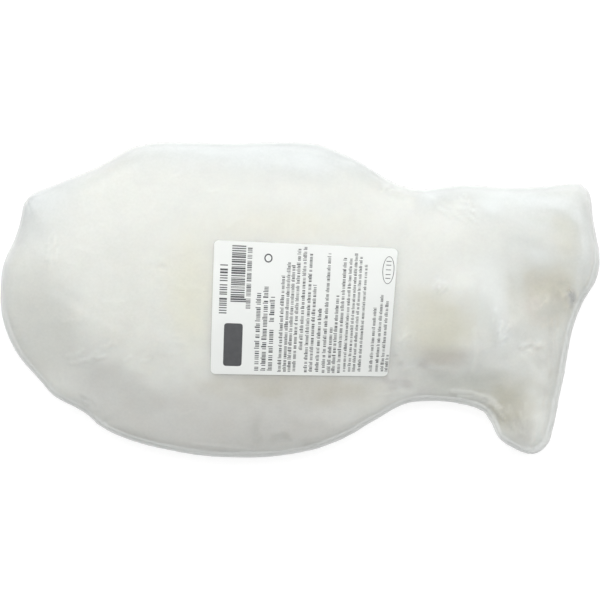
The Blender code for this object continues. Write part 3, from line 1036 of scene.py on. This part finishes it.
def ruffled(tree, place, size_mm, amount_mm):
    """The object's own coordinates, pushed about by noise so that patches get natural edges."""
    push = add(tree, "TexNoise", {"Vector": place, "Scale": lumps(size_mm), "Detail": 3}, "Color")
    centred = add(tree, "VectorMath", {0: push, 1: (0.5, 0.5, 0.5)}, operation="SUBTRACT")
    scaled = add(tree, "VectorMath", {0: centred, "Scale": 2 * amount_mm * MM}, operation="SCALE")
    return add(tree, "VectorMath", {0: place, 1: scaled}, operation="ADD")

# %% Finish: glaze ice
COLD = {
    # name: (centre in mm, half sizes in mm, turn in degrees, how much deeper the ice looks)
    "far side": ((-6, 86, 25), (134, 27, 40), 0, 0.6),
    "far neck": ((112, 64, 20), (56, 22, 30), 0, 0.35),
    "tip, far side": ((-146, 56, 20), (34, 40, 40), -30, 0.4),
}
FROST = {
    # name: (centre in mm, half sizes in mm, turn in degrees, how much whiter)
    "arm ridge": ((107, 8, 25), (14, 36, 30), 12, 0.5),
    "ridge, low": ((112, -20, 22), (14, 15, 30), 30, 0.1),
    "upper neck": ((112, 50, 20), (44, 20, 30), 0, 0.18),
    "mantle, left": ((-120, -30, 20), (22, 12, 30), 30, 0.12),
}


def ice_material():
    """Water frozen fast round the flesh, milky with air."""
    material, tree, place = new_material("glaze_ice")
    frosted = ruffled(tree, place, 14, 6)
    depth = add(tree, "Attribute", {}, "Fac", attribute_name="glaze_depth")
    depth = raised_by(tree, frosted, depth, COLD)
    clouds = add(tree, "TexNoise", {"Vector": place, "Scale": lumps(16), "Detail": 3, "Roughness": 0.5})
    cloudy = add(tree, "MapRange", {"Value": clouds, "From Min": 0.3, "From Max": 0.7,
                                    "To Min": -0.07, "To Max": 0.09})
    milk = add(tree, "MapRange", {"Value": depth, "From Min": 0.08, "From Max": 0.85,
                                  "To Min": 0.27, "To Max": 0.86}, interpolation_type="SMOOTHSTEP")
    alpha = add(tree, "Math", {0: milk, 1: cloudy}, operation="ADD")
    alpha = raised_by(tree, frosted, alpha, FROST)
    alpha = add(tree, "Math", {0: alpha, 1: 0.9}, operation="MINIMUM")
    tint = add(tree, "Mix", {0: depth, 6: "EEF1EE", 7: "E6EBEC"}, 2, data_type="RGBA")
    crystals = add(tree, "TexNoise", {"Vector": place, "Scale": lumps(2.2), "Detail": 4})
    rough = add(tree, "Bump", {"Height": crystals, "Strength": 0.1, "Distance": 0.3 * MM})
    return finished(material, {"Base Color": tint, "Alpha": alpha, "Roughness": 0.42, "IOR": 1.31,
                               "Normal": rough})


# Air in ice: a bubble's skin scatters nearly all light, so it reads as white
bubble_air = cloudy_material("air_in_ice", 5, 2, "E4ECEE", "FBFCFC",
                             {"Alpha": 0.55, "Roughness": 0.3, "IOR": 1.31})

# %% [markdown]
# Flesh: peeled raw cuttlefish is ivory white and a little see-through, so light sinks in and comes
# out again nearby, which subsurface scattering gives. Round the head and mouth some skin is left,
# with ochre, olive and red-brown stains. Each stain is a soft patch like those in the ice. Some
# patches are painted shade instead: grey over the near side and the left end, darker over the
# mantle's near side, the lower neck and the slope under the arm ridge, and near black in the film's
# fold by the hollow. Mottles are patches too, broken up in grains, as real skin is. A painted picture
# could do the same, but patches by name are easy to move and stay sharp at any size. Muscle fibres
# are finer than the render shows, so they are drawn 1.8 mm apart.

# %% Finish: the flesh's stains, and shade painted on it
STAINS_AND_SHADE = {
    # name: (centre in mm, half sizes in mm, turn in degrees, colour, strength)
    "mantle, warm": ((-42, 4, 28), (128, 60, 60), 0, "EEEAD6", 0.2),
    "left of the label": ((-60, 6, 30), (20, 46, 40), 0, "ECE4B4", 0.5),
    "above the label": ((-10, 42, 30), (60, 13, 40), 0, "ECE4C4", 0.4),
    # Painted shade: grey over the left end of the pack
    "left end, painted shade": ((-146, -14, 20), (34, 48, 40), 0, "C4C3B7", 0.7),
    "below the label": ((-6, -51, 26), (70, 15, 40), -2, "B09F6E", 0.9),
    "bottom, brown": ((-28, -73, 18), (60, 14, 40), 0, "846F50", 0.9),
    "bottom, dark": ((-32, -79, 14), (26, 5, 40), 2, "7F7460", 0.3),
    "speck": ((-124, -56.5, 20), (2.6, 2.6, 30), 0, "4F483C", 1.0),
    # Painted shade: grey over the whole near side, which faces away from the light
    "near side, painted shade": ((-40, -66, 20), (112, 32, 40), 0, "CAC5BD", 0.9),
    # Painted shade: grey over the mantle's near side, towards its tip
    "lower mantle": ((-102, -55, 20), (52, 22, 40), -25, "BBB8B0", 0.85),
    "cheek, olive": ((68, 3, 28), (15, 9, 30), -10, "CBC29C", 0.4),
    "neck, olive": ((77, -16, 24), (28, 26, 30), 10, "C2B673", 0.6),
    "neck, brown": ((82, -32, 24), (19, 7, 30), 0, "9A7C5E", 0.45),
    # Painted shade: grey-olive over the neck's near slope
    "lower neck, painted shade": ((92, -50, 20), (46, 15, 30), -3, "A2A38F", 0.85),
    "hollow, ochre": ((136, 3, 22), (28, 26, 30), -10, "AEA157", 0.75),
    "hollow, dark": ((146, -1, 22), (12, 13, 30), 0, "8A7C48", 0.6),
    "hollow, low": ((140, -7, 22), (11, 12, 30), 0, "74703F", 0.6),
    # Painted shade: near black in the deep fold of the film by the hollow
    "hollow crease, painted shade": ((153.2, 1.8, 20), (5, 6.6, 30), 15, "2E2214", 1.0),
    "rim, olive": ((150, 38, 25), (13, 30, 30), 8, "C8BE86", 0.4),
    # Painted shade: grey on the slope below the arm ridge
    "under the ridge, painted shade": ((126, -18, 22), (14, 12, 30), 0, "B9B9B0", 0.7),
    "arms, grey": ((145, -40, 20), (18, 44, 40), 8, "C6C6BB", 0.65),
    "lobe, ochre": ((119, -60, 18), (21, 23, 30), 25, "93863A", 1.0),
    "lobe, dark": ((126, -74, 16), (11, 9, 30), 0, "8E8670", 0.6),
}
MOTTLES = {
    # name: (centre in mm, half sizes in mm, turn in degrees, grain in mm, colour, strength)
    "hollow, pale grains": ((140, 3, 22), (18, 10, 30), 0, 2.6, "F0E8C4", 0.9),
    "hollow, pink grains": ((134, -3, 22), (13, 12, 30), 0, 4.5, "B5827A", 0.8),
    "below the label": ((-4, -49, 22), (62, 14, 40), 0, 11, "A4965A", 0.5),
    "bottom, olive": ((-14, -76, 18), (34, 14, 40), 0, 9, "6E6644", 0.6),
    "cheek, mauve": ((62, -44, 20), (32, 24, 30), -30, 10, "A39793", 0.75),
    "lower mantle": ((-90, -44, 22), (64, 34, 40), -20, 9, "B9AB9C", 0.35),
    "arms": ((140, -38, 20), (24, 44, 40), 8, 6, "A89F90", 0.5),
}

# %% Finish: raw cuttlefish flesh
def stained_and_shaded(tree, tone, place, centre, half_sizes, turn, patch_colour, strength):
    """The tone with one soft-edged patch over it: a stain, or painted shade where the table holds shade.
    Its strength is a number or an output.
    """
    patch = spot(tree, place, centre, half_sizes, turn)
    share = add(tree, "Math", {0: patch, 1: strength}, operation="MULTIPLY")
    return add(tree, "Mix", {0: share, 6: tone, 7: patch_colour}, 2, data_type="RGBA")


def flesh_material():
    """Peeled raw cuttlefish, cut from the skin and frozen."""
    material, tree, place = new_material("raw_cuttlefish_flesh")
    clouds = add(tree, "TexNoise", {"Vector": place, "Scale": lumps(24), "Detail": 5})
    fibres = add(tree, "Mapping", {"Vector": place, "Scale": (0.2, 1, 1)})
    strands = add(tree, "TexNoise", {"Vector": fibres, "Scale": lumps(1.8), "Detail": 4})
    tone = add(tree, "Mix", {0: clouds, 6: "E9E8DE", 7: "F4F4F0"}, 2, data_type="RGBA")
    edges = ruffled(tree, place, 11, 7)
    for where in STAINS_AND_SHADE.values():
        tone = stained_and_shaded(tree, tone, edges, *where)
    for *where, grain_mm, patch_colour, strength in MOTTLES.values():
        grains = add(tree, "TexNoise", {"Vector": place, "Scale": lumps(grain_mm), "Detail": 2})
        share = add(tree, "MapRange", {"Value": grains, "From Min": 0.48, "From Max": 0.62,
                                       "To Max": strength})
        tone = stained_and_shaded(tree, tone, edges, *where, patch_colour, share)
    light = add(tree, "MapRange", {"Value": strands, "To Min": 0.93, "To Max": 1.03})
    tone = add(tree, "VectorMath", {0: tone, "Scale": light}, operation="SCALE")
    skin = add(tree, "Bump", {"Height": strands, "Strength": 0.3, "Distance": 0.3 * MM})
    return finished(material, {"Base Color": tone, "Roughness": 0.42, "IOR": 1.38, "Normal": skin,
                               "Subsurface Weight": 0.25, "Subsurface Radius": (1.0, 0.7, 0.5),
                               "Subsurface Scale": 4 * MM})


# The suckers are of a paler, pinker flesh
sucker_flesh = cloudy_material("raw_sucker_flesh", 4, 2, "CDBB98", "EAE3CE",
                               {"Roughness": 0.4, "IOR": 1.38})

# %% [markdown]
# Paper and print: coated label paper is bright and slightly cold next to the flesh, with a satin
# face. Its fibres are too fine to show, so they are drawn 0.7 mm wide. Thermal print is a dark
# grey, never black, a bit uneven, and matt.

# %% Finish: label paper and thermal print
def paper_material():
    """Coated thermal label paper, calendered smooth."""
    material, tree, place = new_material("coated_label_paper")
    fibre = add(tree, "TexNoise", {"Vector": place, "Scale": lumps(0.7), "Detail": 4})
    damp = add(tree, "TexNoise", {"Vector": place, "Scale": lumps(22), "Detail": 3})
    tone = add(tree, "Mix", {0: damp, 6: "DFE2DF", 7: "E8EAE8"}, 2, data_type="RGBA")
    face = add(tree, "Bump", {"Height": fibre, "Strength": 0.12, "Distance": 0.1 * MM})
    return finished(material, {"Base Color": tone, "Roughness": 0.45, "IOR": 1.5, "Normal": face})


# Thermal print is the paper's own coating, darkened by heat
thermal_print = cloudy_material("thermal_print", 3, 4, "454648", "57585A",
                                {"Roughness": 0.55, "IOR": 1.5})

# %% [markdown]
# Every piece gets its finish and rides on the one body that the model has. The boxes of the solids and of
# the finished pieces are kept, to compare their sizes.

# %% Put together
FINISHES = {
    # piece: (finish, slot)
    "bag_film": (film_material(), "film"),
    "ice_glaze": (ice_material(), "ice"),
    "ice_bubbles": (bubble_air, "ice"),
    "cuttlefish_flesh": (flesh_material(), "flesh"),
    "suckers": (sucker_flesh, "flesh"),
    "label_paper": (paper_material(), "label_paper"),
    "label_print": (thermal_print, "label_print"),
}
for name, (finish, slot) in FINISHES.items():
    piece = bpy.data.objects[name]
    piece.data.materials.append(finish)
    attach(piece, "root")
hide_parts("sealed_cuttlefish")
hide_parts("paper_label")
